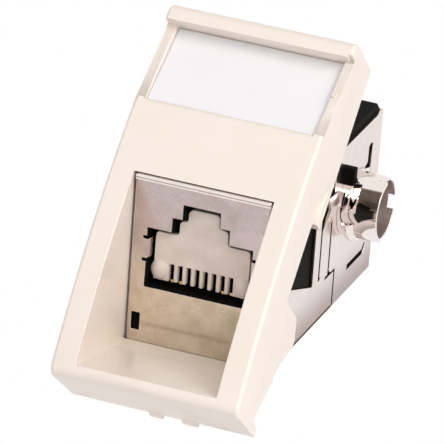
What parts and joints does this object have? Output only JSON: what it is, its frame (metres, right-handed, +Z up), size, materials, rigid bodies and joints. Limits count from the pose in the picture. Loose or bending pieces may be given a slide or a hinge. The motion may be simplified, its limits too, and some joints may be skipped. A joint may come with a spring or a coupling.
{
  "type": "angled network jack module",
  "caption": "Angled snap-in outlet insert with a label field, a shielded modular network jack that faces downwards, a sprung port shutter and a side cable clamp ring.",
  "frame": {"origin": "middle of the bezel's lower front edge, where the insert hooks into its frame", "axes": "+X to the right seen from the front, +Y inward, +Z up, as installed in a wall outlet"},
  "size_m": [0.0243, 0.041, 0.0466],
  "materials": {
    "cream_plastic": "satin",
    "label_paper": "matt",
    "clear_plastic": "clear",
    "nickel_sheet": "bright rolled nickel plate",
    "nickel_bright": "polished",
    "black_plastic": "satin",
    "grey_plastic": "satin",
    "spring_steel": "drawn wire",
    "board_green": "solder resist",
    "gold_contact": "gold plated",
    "tinned_terminal": "tin plated"
  },
  "bodies": {
    "frame": {"bezel": "cream_plastic", "label_card": "label_paper", "label_cover": "clear_plastic", "front_shield": "nickel_sheet", "rear_hood": "nickel_sheet", "cable_clamp": "nickel_bright", "jack_housing": "black_plastic", "wire_cap": "black_plastic", "contact_carrier": "black_plastic", "terminal_block": "black_plastic", "shutter_spring": "spring_steel", "circuit_board": "board_green", "contact_1": "gold_contact", "contact_2": "gold_contact", "contact_3": "gold_contact", "contact_4": "gold_contact", "contact_5": "gold_contact", "contact_6": "gold_contact", "contact_7": "gold_contact", "contact_8": "gold_contact", "terminal_1": "tinned_terminal", "terminal_2": "tinned_terminal", "terminal_3": "tinned_terminal", "terminal_4": "tinned_terminal", "terminal_5": "tinned_terminal", "terminal_6": "tinned_terminal", "terminal_7": "tinned_terminal", "terminal_8": "tinned_terminal"},
    "shutter": {"shutter": "grey_plastic"}
  },
  "joints": [
    {"name": "shutter_slide", "type": "slide", "parent": "frame", "child": "shutter", "axis": [0, 0.7373, 0.6756], "range_m": [0, 0.007], "stiffness_N_per_m": 60, "springref_m": -0.003, "deforming": ["shutter_spring"]}
  ]
}
